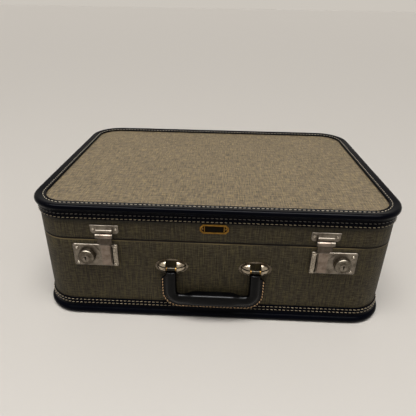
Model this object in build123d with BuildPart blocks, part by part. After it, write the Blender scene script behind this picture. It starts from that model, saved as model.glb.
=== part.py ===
"""Overnight suitcase: canvas-covered board case with bound edges, two sliding-knob locks,
two hasps, a padded handle and a lid on rear hinges, held by slotted stays.

Millimetres. The origin is at the middle of the footprint, on the surface it stands on.
+X runs along the width, the locks face -Y, and +Z is up. "Out" is the distance that
something stands off the wall that carries it.
"""
from math import asin, radians, sin, sqrt
import os

from build123d import *

os.makedirs("parts", exist_ok=True)

# Case body, measured over the canvas
body_width = 453.0
body_depth = 320.0
corner_radius = 42.0
seam_height = 117.5
seam_gap = 0.7
lid_height = 44.0
bottom_height = 3.4
canvas_thick = 1.0
board_thick = 3.0
lining_thick = 0.8

# Black binding round the top and bottom edges
binding_thick = 1.6
binding_lap_in = 10.2
bead_width = 2.6
bead_rise = 2.5
band_rise = 2.1
lid_strip = 15.9
lid_roll_radius = 3.9
lid_roll_out = 5.1
base_strip = 20.3
base_roll_radius = 5.1
base_roll_out = 5.8
roll_over_bead = 0.4

# Inner lip that the lid closes over
valance_thick = 2.0
valance_above_seam = 9.0
valance_below_seam = 16.0
valance_chamfer = 0.7
lid_lining_clear = 2.0

# Clearances
running_clear = 0.05
moving_clear = 0.3

# Rear hinges
hinge_inset = 91.5
hinge_width = 34.0
hinge_leaf_height = 18.0
hinge_sheet = 1.2
hinge_knuckle_radius = 3.0
hinge_pin_radius = 1.5
hinge_stand_off = 0.4
hinge_mid_knuckle = 13.4
hinge_rivet_spacing = 22.0
hinge_rivet_drop = 11.0
lid_travel = 100.0

# Lid stays
stay_inset = 11.0
stay_sheet = 1.5
stay_width = 9.0
stay_reach_share = 0.528
stay_pivot_rise = 12.0
stay_stud_drop = 10.0
stay_boss_radius = 2.5
stay_shank_radius = 2.0
stay_head_radius = 4.0
stay_head_thick = 1.2
stay_side_clear = 0.2
stay_slot_clear = 0.3
stay_end_land = 3.2
stay_tail_radius = 1.5
stay_tail_depth = 2.0

# Locks, measured in from the ends of the case and down from the seam
lock_inset = 78.0
lock_below_seam = 23.0
lock_width = 57.0
lock_height = 32.0
lock_out = 2.8
lock_sheet = 0.9
lock_corner = 2.5
lock_bend = 1.6
lock_strip_width = 5.9
lock_channel_width = 1.5
lock_channel_length = 27.0
lock_channel_clear = 0.4
lock_strip_rise = 1.7
lock_strip_fillet = 0.7
lock_dish_radius = 17.6
lock_dish_rise = 0.5
lock_rivet_radius = 2.1
lock_rivet_rise = 1.0
rivet_shank_radius = 1.2
rivet_depth = 3.0
rivet_edge_drop = 0.7
rivet_edge_run = 0.95
lock_rivet_outer = 22.6
lock_rivet_up = 10.9

# Knob, bolt, plug and spring of a lock
knob_shift = 10.7
knob_radius = 11.0
knob_taper = 0.5
knob_shoulder = 2.9
knob_face_out = 10.6
knob_ring_radius = 7.2
knob_ring_width = 0.8
knob_ring_depth = 0.4
knob_stem_radius = 3.0
knob_tenon_radius = 1.8
knob_travel = 4.0
bolt_thick = 1.1
bolt_off_wall = 0.4
bolt_width = 9.0
bolt_nose_width = 5.0
bolt_nose_length = 9.0
plug_radius = 4.8
plug_proud = 0.4
keyway_width = 1.4
keyway_length = 5.6
keyway_eye_radius = 1.3
keyway_depth = 4.5
spring_wire = 0.8
spring_legs = 5
spring_height = 10.0
spring_bend = 1.2

# Hasps
hasp_offset = 13.8
hasp_plate_above_seam = 14.3
hasp_plate_width = 34.8
hasp_plate_height = 12.4
hasp_sheet = 1.0
hasp_ear_radius = 4.5
hasp_lip_radius = 1.1
hasp_box_width = 19.2
hasp_nose_out = 4.8
hasp_box_drop = 1.2
hasp_box_top_out = 1.4
hasp_nose_bend = 1.4
hasp_nose_height = 4.4
hasp_rivet_spacing = 27.6
hasp_rivet_radius = 1.9
hasp_axis_above_seam = 6.8
hasp_axis_out = 4.6
hasp_knuckle_radius = 3.2
hasp_pin_radius = 1.6
hasp_knuckle_width = 21.2
hasp_short_knuckle = 5.6
hasp_end_knuckle = 1.4
hasp_thick = 1.4
hasp_neck_width = 18.0
hasp_tongue_width = 11.8
hasp_neck_length = 11.7
hasp_joggle = 2.2
hasp_joggle_out = 0.9
hasp_length = 42.9
hasp_end_radius = 1.5
hook_width = 5.0
hook_height = 7.0
hook_notch = 1.5
hook_slot_clear = 1.0
hook_corner = 0.8

# Handle and its loops
loop_x = 53.0
loop_below_seam = 36.7
loop_width = 42.0
loop_height = 22.4
loop_rim_thick = 1.0
loop_dome_width = 37.4
loop_dome_rise = 10.4
loop_dome_height = 18.4
loop_tip_trim = 0.3
loop_window_width = 14.5
loop_window_height = 17.2
loop_flute_width = 1.2
loop_flute_depth = 1.0
loop_flute_up = 2.7
pin_out = 7.4
pin_radius = 1.8
pin_grip = 2.0
eye_radius = 2.6
eye_width = 9.0
core_radius = 1.9
leg_x = 53.5
handle_drop = 46.4
leg_roll_width = 14.4
leg_roll_thick = 11.0
roll_flat = 0.05
bar_roll_width = 17.8
bar_roll_thick = 16.0
bar_corner = 6.0
flange_width = 6.0
flange_thick = 4.6
flange_fillet = 1.2
handle_corner = 11.5
leather_below_pin = 3.2
flange_below_pin = 10.2
flange_slope = 3.0
grip_half = 37.0
grip_swell = 14.0
grip_sink = 1.5

# Small plate on the lid
plate_below_top = 24.5
plate_width = 35.5
plate_height = 12.6
plate_clip = 4.0
plate_thick = 0.9
plate_field_width = 31.5
plate_field_height = 8.6
plate_field_clip = 3.0
plate_rib_spacing = 23.8
plate_rib_width = 0.8
plate_field_depth = 0.4
nail_spacing = 28.6
nail_radius = 1.3
nail_rise = 0.6
nail_shank_radius = 0.6

# Heights, places and planes that follow from the sizes above
top_height = seam_height + lid_height
lock_x = body_width / 2 - lock_inset
lock_z = seam_height - lock_below_seam
hasp_x = lock_x - hasp_offset
hasp_plate_z = seam_height + hasp_plate_above_seam
hasp_axis_z = seam_height + hasp_axis_above_seam
hasp_neck_end = hasp_axis_z - hasp_neck_length
hasp_end_z = hasp_axis_z - hasp_length
hinge_x = body_width / 2 - hinge_inset
stay_reach = stay_reach_share * seam_height
loop_z = seam_height - loop_below_seam
bar_z = loop_z - handle_drop
plate_z = top_height - plate_below_top
wall_thick = canvas_thick + board_thick
base_rim = seam_height - seam_gap / 2
lid_rim = seam_height + seam_gap / 2
front = Plane((0, -body_depth / 2, 0), x_dir=(1, 0, 0), z_dir=(0, -1, 0))
back = Plane((0, body_depth / 2, 0), x_dir=(-1, 0, 0), z_dir=(0, 1, 0))
hinge_y = body_depth / 2 + hinge_stand_off + hinge_knuckle_radius
sides = ((-1, "left"), (1, "right"))


def keep(piece, name):
    """Name a finished piece and write it."""
    piece.part.label = name
    export_step(piece.part, f"parts/{name}.step")


def outline(inset, mode=Mode.ADD):
    """The case's outline in plan, drawn in by an inset."""
    RectangleRounded(body_width - 2 * inset, body_depth - 2 * inset, corner_radius - inset, mode=mode)


def wall(outer_inset, inner_inset, low, high):
    """An upright wall all round, between two insets and two heights."""
    with BuildSketch(Plane.XY.offset(low)) as plan:
        outline(outer_inset)
        outline(inner_inset, mode=Mode.SUBTRACT)
    extrude(plan.sketch, amount=high - low)


def slab(inset, low, high):
    """A flat panel inside an inset."""
    with BuildSketch(Plane.XY.offset(low)) as plan:
        outline(inset)
    extrude(plan.sketch, amount=high - low)


def holes(plane, points, radius, depth):
    """Blind holes sunk into a wall from its outer face."""
    with BuildSketch(plane) as mouths:
        with Locations(*points):
            Circle(radius)
    extrude(mouths.sketch, amount=-depth, mode=Mode.SUBTRACT)


def side_hole(side, y, z, radius, low, high):
    """A hole through an end wall, between two distances from the middle of the case."""
    with BuildSketch(Plane((side * low, y, z), x_dir=(0, 1, 0), z_dir=(side, 0, 0))) as mouth:
        Circle(radius)
    extrude(mouth.sketch, amount=high - low, mode=Mode.SUBTRACT)


def rivets(plane, points, seat, head_radius, head_rise, shank_radius, depth):
    """Domed rivets seated at a height over a plane, with shanks that end below it."""
    with BuildSketch(plane.offset(seat)) as heads:
        with Locations(*points):
            Circle(head_radius)
    extrude(heads.sketch, amount=head_rise)
    rims = edges(Select.LAST).filter_by(GeomType.CIRCLE)
    chamfer([rim for rim in rims if abs(plane.to_local_coords(rim.center()).Z - seat) > 0.01],
            length=rivet_edge_drop * head_rise, length2=rivet_edge_run * head_rise)
    with BuildSketch(plane.offset(-depth)) as shanks:
        with Locations(*points):
            Circle(shank_radius)
    extrude(shanks.sketch, amount=seat + depth)


def carry_round(draw_section, level, up):
    """Carry an edge section round the case: straight along the sides, turned at the corners.

    The section is drawn with x out from the canvas and y away from the panel, which is
    upwards on the lid and downwards on the base.
    """
    end_run = body_depth / 2 - corner_radius
    front_run = body_width / 2 - corner_radius
    corner = Axis((front_run, -end_run, 0), (0, 0, -1))
    end_plane = Plane((body_width / 2, -end_run, level), x_dir=(1, 0, 0), z_dir=(0, -up, 0))
    front_plane = Plane((0, -body_depth / 2, level), x_dir=(0, -1, 0), z_dir=(-up, 0, 0))
    with BuildSketch(end_plane) as end_section:
        draw_section()
    revolve(end_section.sketch, axis=corner, revolution_arc=90)
    extrude(end_section.sketch, amount=-up * end_run)
    with BuildSketch(front_plane) as front_section:
        draw_section()
    extrude(front_section.sketch, amount=-up * front_run)
    mirror(about=Plane.YZ)
    mirror(about=Plane.XZ)


def binding_section(strip, roll_radius, roll_out, flat):
    """Section of a binding: a stitched strip down the wall, the edge roll, the band on the
    panel and the bead that ends it. A flat band rests on its whole width."""
    roll_x = roll_out - roll_radius
    roll_y = (bead_rise + roll_over_bead if not flat else bottom_height) - roll_radius
    strip_top = roll_y - sqrt(roll_radius**2 - (binding_thick - roll_x) ** 2)
    band_end = -(binding_lap_in - bead_width)
    band_y = roll_y + roll_radius if flat else band_rise
    with BuildLine() as border:
        Polyline((-binding_lap_in, bead_rise / 2), (-binding_lap_in, 0), (0, 0), (0, -strip),
                 (binding_thick, -strip), (binding_thick, strip_top))
        ThreePointArc((binding_thick, strip_top), (roll_out, roll_y), (roll_x, roll_y + roll_radius))
        Polyline((roll_x, roll_y + roll_radius), (band_end, band_y), (band_end, bead_rise / 2))
        ThreePointArc((band_end, bead_rise / 2), (band_end - bead_width / 2, bead_rise),
                      (-binding_lap_in, bead_rise / 2))
    make_face(border.edges())


# Where the fastenings go, as places on the front and back walls
lock_rivet_inner = (lock_width - lock_strip_width) / 2


def lock_dish_rivets(side):
    return [(side * (lock_x + lock_rivet_outer), lock_z + up * lock_rivet_up) for up in (-1, 1)]


def lock_strip_rivets(side):
    return [(side * (lock_x - lock_rivet_inner), lock_z + up * lock_rivet_up) for up in (-1, 1)]


def hasp_rivet_places(side):
    return [(side * hasp_x + end * hasp_rivet_spacing / 2, hasp_plate_z) for end in (-1, 1)]


base_front_points = [point for side, word in sides for point in lock_dish_rivets(side)]
base_front_points += [point for side, word in sides for point in lock_strip_rivets(side)]
lid_front_points = [point for side, word in sides for point in hasp_rivet_places(side)]
nail_points = [(-nail_spacing / 2, plate_z), (nail_spacing / 2, plate_z)]
hinge_rivet_places = [side * hinge_x + end * hinge_rivet_spacing / 2
                      for side, word in sides for end in (-1, 1)]
base_back_points = [(x, seam_height - hinge_rivet_drop) for x in hinge_rivet_places]
lid_back_points = [(x, seam_height + hinge_rivet_drop) for x in hinge_rivet_places]

# Lid stay: both its ends lie at the same reach from the hinge axis
stay_pivot = (hinge_y - sqrt(stay_reach**2 - stay_pivot_rise**2), seam_height + stay_pivot_rise)
stay_stud = (hinge_y - sqrt(stay_reach**2 - stay_stud_drop**2), seam_height - stay_stud_drop)
stay_closed_angle = asin(stay_pivot_rise / stay_reach) + asin(stay_stud_drop / stay_reach)
stay_closed_span = 2 * stay_reach * sin(stay_closed_angle / 2)
stay_open_span = 2 * stay_reach * sin((stay_closed_angle + radians(lid_travel)) / 2)
stay_outer = body_width / 2 - stay_inset
board_inner = body_width / 2 - wall_thick

# Base

with BuildPart() as base_shell:
    wall(canvas_thick, wall_thick, bottom_height + canvas_thick, base_rim)
    slab(canvas_thick, bottom_height + canvas_thick, bottom_height + wall_thick)
    holes(front, base_front_points, rivet_shank_radius, rivet_depth)
    holes(back, base_back_points, rivet_shank_radius, rivet_depth)
    for side, word in sides:
        side_hole(side, *stay_stud, stay_tail_radius, board_inner, board_inner + stay_tail_depth)
keep(base_shell, "base_shell")

with BuildPart() as base_canvas:
    wall(0, canvas_thick, bottom_height, base_rim)
    holes(front, base_front_points, rivet_shank_radius, rivet_depth)
    holes(back, base_back_points, rivet_shank_radius, rivet_depth)
keep(base_canvas, "base_canvas")

with BuildPart() as bottom_canvas:
    slab(canvas_thick, bottom_height, bottom_height + canvas_thick)
keep(bottom_canvas, "bottom_canvas")

with BuildPart() as base_binding:
    carry_round(lambda: binding_section(base_strip, base_roll_radius, base_roll_out, True),
                bottom_height, -1)
keep(base_binding, "base_binding")

with BuildPart() as base_lining:
    wall(wall_thick, wall_thick + lining_thick, bottom_height + wall_thick, base_rim)
    slab(wall_thick, bottom_height + wall_thick, bottom_height + wall_thick + lining_thick)
    for side, word in sides:
        side_hole(side, *stay_stud, stay_boss_radius, board_inner - lining_thick, board_inner)
keep(base_lining, "base_lining")

with BuildPart() as valance:
    valance_inset = wall_thick + lining_thick
    wall(valance_inset, valance_inset + valance_thick,
         seam_height - valance_below_seam, seam_height + valance_above_seam)
    chamfer(valance.edges().group_by(Axis.Z)[-1], valance_chamfer)
    for side, word in sides:
        side_hole(side, *stay_stud, stay_boss_radius,
                  board_inner - lining_thick - valance_thick, board_inner)
keep(valance, "valance")

# Lid

with BuildPart() as lid_shell:
    wall(canvas_thick, wall_thick, lid_rim, top_height - canvas_thick)
    slab(canvas_thick, top_height - wall_thick, top_height - canvas_thick)
    holes(front, lid_front_points, rivet_shank_radius, rivet_depth)
    holes(front, nail_points, nail_shank_radius, rivet_depth)
    holes(back, lid_back_points, rivet_shank_radius, rivet_depth)
    for side, word in sides:
        side_hole(side, *stay_pivot, stay_tail_radius, board_inner, board_inner + stay_tail_depth)
keep(lid_shell, "lid_shell")

with BuildPart() as lid_canvas:
    wall(0, canvas_thick, lid_rim, top_height)
    holes(front, lid_front_points, rivet_shank_radius, rivet_depth)
    holes(front, nail_points, nail_shank_radius, rivet_depth)
    holes(back, lid_back_points, rivet_shank_radius, rivet_depth)
keep(lid_canvas, "lid_canvas")

with BuildPart() as top_canvas:
    slab(canvas_thick, top_height - canvas_thick, top_height)
keep(top_canvas, "top_canvas")

with BuildPart() as lid_binding:
    carry_round(lambda: binding_section(lid_strip, lid_roll_radius, lid_roll_out, False),
                top_height, 1)
keep(lid_binding, "lid_binding")

with BuildPart() as lid_lining:
    lining_low = seam_height + valance_above_seam + lid_lining_clear
    wall(wall_thick, wall_thick + lining_thick, lining_low, top_height - wall_thick)
    slab(wall_thick, top_height - wall_thick - lining_thick, top_height - wall_thick)
    for side, word in sides:
        side_hole(side, *stay_pivot, stay_boss_radius, board_inner - lining_thick, board_inner)
keep(lid_lining, "lid_lining")

# Rear hinges: the base leaf has the two outer knuckles, the lid leaf the middle one


def hinge_end(x):
    """A plane across the hinge axis."""
    return Plane((x, hinge_y, seam_height), x_dir=(0, 1, 0), z_dir=(1, 0, 0))


def hinge_leaf(side, up, spans, bore):
    """A hinge leaf that runs up or down from the seam, with a knuckle over each span."""
    for low, high in spans:
        with BuildSketch(hinge_end(side * hinge_x + low)) as knuckle:
            Circle(hinge_knuckle_radius)
        extrude(knuckle.sketch, amount=high - low)
        with BuildSketch(back) as tab:
            with Locations((-(side * hinge_x + (low + high) / 2), seam_height + up * hinge_leaf_height / 2)):
                Rectangle(high - low, hinge_leaf_height - seam_gap)
        extrude(tab.sketch, amount=hinge_sheet)
    plain = hinge_leaf_height - hinge_knuckle_radius - seam_gap
    with BuildSketch(back) as leaf:
        with Locations((-side * hinge_x, seam_height + up * (hinge_leaf_height - seam_gap / 2 - plain / 2))):
            Rectangle(hinge_width, plain)
    extrude(leaf.sketch, amount=hinge_sheet)
    with BuildSketch(hinge_end(side * hinge_x - hinge_width)) as pin_bore:
        Circle(bore)
    extrude(pin_bore.sketch, amount=2 * hinge_width, mode=Mode.SUBTRACT)


hinge_face = back.offset(hinge_sheet)
hinge_half = hinge_width / 2
hinge_mid = hinge_mid_knuckle / 2
outer_spans = [(-hinge_half, -hinge_mid - moving_clear), (hinge_mid + moving_clear, hinge_half)]

for side, word in sides:
    with BuildPart() as hinge_base_leaf:
        hinge_leaf(side, -1, outer_spans, hinge_pin_radius)
        holes(hinge_face, base_back_points, rivet_shank_radius, hinge_sheet)
    keep(hinge_base_leaf, f"hinge_base_leaf_{word}")

    with BuildPart() as hinge_lid_leaf:
        hinge_leaf(side, 1, [(-hinge_mid, hinge_mid)], hinge_pin_radius + running_clear)
        holes(hinge_face, lid_back_points, rivet_shank_radius, hinge_sheet)
    keep(hinge_lid_leaf, f"hinge_lid_leaf_{word}")

    with BuildPart() as hinge_pin:
        with BuildSketch(hinge_end(side * hinge_x - hinge_half)):
            Circle(hinge_pin_radius)
        extrude(amount=hinge_width)
    keep(hinge_pin, f"hinge_pin_{word}")

with BuildPart() as hinge_base_rivets:
    rivets(back, base_back_points, hinge_sheet, lock_rivet_radius, lock_rivet_rise,
           rivet_shank_radius, rivet_depth)
keep(hinge_base_rivets, "hinge_base_rivets")

with BuildPart() as hinge_lid_rivets:
    rivets(back, lid_back_points, hinge_sheet, lock_rivet_radius, lock_rivet_rise,
           rivet_shank_radius, rivet_depth)
keep(hinge_lid_rivets, "hinge_lid_rivets")

# Lid stays: the arm turns on a pivot in the lid and slides along a headed stud in the base


def stay_stem(side, place):
    """A shouldered stem: tail in the board, boss up to the arm, shank through it, head."""
    arm_inner = stay_outer - stay_sheet - stay_side_clear
    steps = ((stay_tail_radius, board_inner, board_inner + stay_tail_depth),
             (stay_boss_radius, stay_outer + stay_side_clear, board_inner),
             (stay_shank_radius, arm_inner, stay_outer + stay_side_clear),
             (stay_head_radius, arm_inner - stay_head_thick, arm_inner))
    for radius, low, high in steps:
        with BuildSketch(Plane((side * low, *place), x_dir=(0, 1, 0), z_dir=(side, 0, 0))) as step:
            Circle(radius)
        extrude(step.sketch, amount=high - low)


stay_direction = Vector(0, stay_stud[0] - stay_pivot[0], stay_stud[1] - stay_pivot[1]).normalized()
slot_start = stay_closed_span - stay_slot_clear
slot_end = stay_open_span + stay_slot_clear
slot_radius = stay_shank_radius + stay_slot_clear
arm_length = slot_end + slot_radius + stay_end_land

for side, word in sides:
    with BuildPart() as stay_pivot_stem:
        stay_stem(side, stay_pivot)
    keep(stay_pivot_stem, f"stay_pivot_{word}")

    with BuildPart() as stay_stud_stem:
        stay_stem(side, stay_stud)
    keep(stay_stud_stem, f"stay_stud_{word}")

    with BuildPart() as stay_arm:
        arm_plane = Plane((side * stay_outer, *stay_pivot), x_dir=tuple(stay_direction),
                          z_dir=(-side, 0, 0))
        with BuildSketch(arm_plane):
            with Locations(((arm_length - stay_width / 2) / 2, 0)):
                SlotOverall(arm_length + stay_width / 2, stay_width)
            Circle(stay_shank_radius + running_clear, mode=Mode.SUBTRACT)
            with Locations(((slot_start + slot_end) / 2, 0)):
                SlotOverall(slot_end - slot_start + 2 * slot_radius, 2 * slot_radius, mode=Mode.SUBTRACT)
        extrude(amount=stay_sheet)
    keep(stay_arm, f"stay_arm_{word}")

# Locks: a pressed pan with a raised strip and a dished field, a knob that slides outwards,
# the bolt behind it and its return spring

lock_room = lock_out - lock_sheet
strip_out = lock_out + lock_strip_rise
dish_out = lock_out + lock_dish_rise
knob_seat = dish_out + moving_clear
bolt_out = bolt_off_wall + bolt_thick
bolt_tip = hasp_x + hook_width / 2 + moving_clear
bolt_tail = lock_x + knob_shift + bolt_width / 2
spring_end = lock_x + lock_width / 2 - lock_sheet
strip_edge = lock_x - lock_rivet_inner + lock_strip_width / 2
channel_x = strip_edge + lock_channel_clear + lock_channel_width / 2

for side, word in sides:
    knob_x = side * (lock_x + knob_shift)

    with BuildPart() as lock_plate:
        with BuildSketch(front):
            with Locations((side * lock_x, lock_z)):
                RectangleRounded(lock_width, lock_height, lock_corner)
        extrude(amount=lock_out)
        fillet(lock_plate.edges().group_by(Axis.Y)[0], lock_bend)
        with BuildSketch(front):
            with Locations((side * lock_x, lock_z)):
                RectangleRounded(lock_width - 2 * lock_sheet, lock_height - 2 * lock_sheet,
                                 lock_corner - lock_sheet)
        extrude(amount=lock_room, mode=Mode.SUBTRACT)
        with BuildSketch(front.offset(lock_room)):
            with Locations((side * (lock_x - lock_rivet_inner), lock_z)):
                Rectangle(lock_strip_width, lock_height - 2 * lock_bend)
        extrude(amount=strip_out - lock_room)
        fillet(lock_plate.edges().group_by(Axis.Y)[0], lock_strip_fillet)
        with BuildSketch(front.offset(lock_out - lock_sheet / 2)):
            with Locations((knob_x, lock_z)):
                Circle(lock_dish_radius)
            with Locations((knob_x + side * lock_dish_radius, lock_z)):
                Rectangle(2 * lock_dish_radius, 2 * lock_dish_radius)
            with Locations((side * lock_x, lock_z)):
                RectangleRounded(lock_width - 2 * lock_bend, lock_height - 2 * lock_bend, lock_corner,
                                 mode=Mode.INTERSECT)
        extrude(amount=lock_sheet / 2 + lock_dish_rise)
        with BuildSketch(front):
            with Locations((knob_x + side * knob_travel / 2, lock_z)):
                SlotOverall(2 * knob_stem_radius + 2 * moving_clear + knob_travel,
                            2 * knob_stem_radius + 2 * moving_clear)
            with Locations((side * hasp_x, lock_z)):
                Rectangle(hook_width + 2 * hook_slot_clear, hook_height + 2 * hook_slot_clear)
            with Locations((side * channel_x, lock_z)):
                Rectangle(lock_channel_width, lock_channel_length)
            with Locations(*lock_dish_rivets(side), *lock_strip_rivets(side)):
                Circle(rivet_shank_radius)
        extrude(amount=2 * strip_out, mode=Mode.SUBTRACT)
    keep(lock_plate, f"lock_plate_{word}")

    with BuildPart() as lock_rivets:
        rivets(front, lock_dish_rivets(side), dish_out, lock_rivet_radius, lock_rivet_rise,
               rivet_shank_radius, rivet_depth)
        rivets(front, lock_strip_rivets(side), strip_out, lock_rivet_radius, lock_rivet_rise,
               rivet_shank_radius, rivet_depth)
    keep(lock_rivets, f"lock_rivets_{word}")

    with BuildPart() as knob:
        turning = Plane((knob_x, -body_depth / 2, lock_z), x_dir=(1, 0, 0), z_dir=(0, 0, -1))
        with BuildSketch(turning):
            with BuildLine():
                Polyline((0, bolt_off_wall), (knob_tenon_radius, bolt_off_wall),
                         (knob_tenon_radius, bolt_out), (knob_stem_radius, bolt_out),
                         (knob_stem_radius, knob_seat), (knob_radius, knob_seat),
                         (knob_radius - knob_taper, knob_face_out - knob_shoulder))
                RadiusArc((knob_radius - knob_taper, knob_face_out - knob_shoulder),
                          (knob_radius - knob_taper - knob_shoulder, knob_face_out), -knob_shoulder)
                Polyline((knob_radius - knob_taper - knob_shoulder, knob_face_out), (0, knob_face_out),
                         (0, bolt_off_wall))
            make_face()
        revolve(axis=Axis((knob_x, -body_depth / 2, lock_z), (0, -1, 0)))
        with BuildSketch(front.offset(knob_face_out)):
            with Locations((knob_x, lock_z)):
                Circle(knob_ring_radius)
                Circle(knob_ring_radius - knob_ring_width, mode=Mode.SUBTRACT)
        extrude(amount=-knob_ring_depth, mode=Mode.SUBTRACT)
        with BuildSketch(front.offset(knob_face_out)):
            with Locations((knob_x, lock_z)):
                Circle(plug_radius + running_clear)
        extrude(amount=-(knob_face_out - knob_seat - lock_sheet), mode=Mode.SUBTRACT)
    keep(knob, f"knob_{word}")

    with BuildPart() as key_plug:
        with BuildSketch(front.offset(knob_seat + lock_sheet)):
            with Locations((knob_x, lock_z)):
                Circle(plug_radius)
        extrude(amount=knob_face_out + plug_proud - knob_seat - lock_sheet)
        with BuildSketch(front.offset(knob_face_out + plug_proud)):
            with Locations((knob_x, lock_z)):
                Rectangle(keyway_width, keyway_length)
            with Locations((knob_x, lock_z + keyway_length / 2 - keyway_eye_radius)):
                Circle(keyway_eye_radius)
        extrude(amount=-keyway_depth, mode=Mode.SUBTRACT)
    keep(key_plug, f"key_plug_{word}")

    with BuildPart() as bolt:
        with BuildSketch(front.offset(bolt_off_wall)):
            with Locations((side * (bolt_tip + bolt_nose_length + bolt_tail) / 2, lock_z)):
                Rectangle(bolt_tail - bolt_tip - bolt_nose_length, bolt_width)
            with Locations((side * (bolt_tip + bolt_nose_length / 2), lock_z)):
                Rectangle(bolt_nose_length, bolt_nose_width)
            with Locations((knob_x, lock_z)):
                Circle(knob_tenon_radius, mode=Mode.SUBTRACT)
        extrude(amount=bolt_thick)
    keep(bolt, f"bolt_{word}")

    with BuildPart() as lock_spring:
        spring_start = bolt_tail + running_clear
        spring_pitch = (spring_end - spring_start - spring_wire) / (spring_legs - 1)
        corners = []
        for leg in range(spring_legs):
            leg_place = side * (spring_start + spring_wire / 2 + leg * spring_pitch)
            swing = (-1) ** leg * spring_height / 2
            corners += [(leg_place, lock_z - swing), (leg_place, lock_z + swing)]
        with BuildSketch(front.offset(bolt_off_wall)):
            with BuildLine():
                FilletPolyline(*corners, radius=spring_bend)
            trace(line_width=spring_wire)
        extrude(amount=bolt_thick)
    keep(lock_spring, f"lock_spring_{word}")

# Hasps: a plate riveted to the lid, and a hasp that turns on its pin and carries the hook

hasp_low = -hasp_knuckle_width / 2
hasp_spans = ((hasp_low, hasp_low + hasp_end_knuckle),
              (hasp_low + hasp_end_knuckle + moving_clear,
               hasp_knuckle_width / 2 - hasp_short_knuckle - moving_clear),
              (hasp_knuckle_width / 2 - hasp_short_knuckle, hasp_knuckle_width / 2))
hasp_back = lock_out + moving_clear
hasp_neck_top = hasp_axis_z - hasp_knuckle_radius - moving_clear
nose_low = hasp_axis_z + hasp_knuckle_radius + moving_clear
plate_top = hasp_plate_z + hasp_plate_height / 2
box_top = plate_top - hasp_box_drop
nose_bend_out = hasp_nose_out - hasp_nose_bend
neck_out = hasp_back + hasp_joggle_out
joggle_low = hasp_neck_end - hasp_joggle


def across(x):
    """A plane that cuts the front wall from the side, with x out from it and y up."""
    return Plane((x, -body_depth / 2, 0), x_dir=(0, -1, 0), z_dir=(-1, 0, 0))


def span_on(side, span):
    """A span measured outwards from a hasp's middle, as lowest and highest X."""
    ends = sorted(side * (hasp_x + end) for end in span)
    return ends[0], ends[1]


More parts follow.
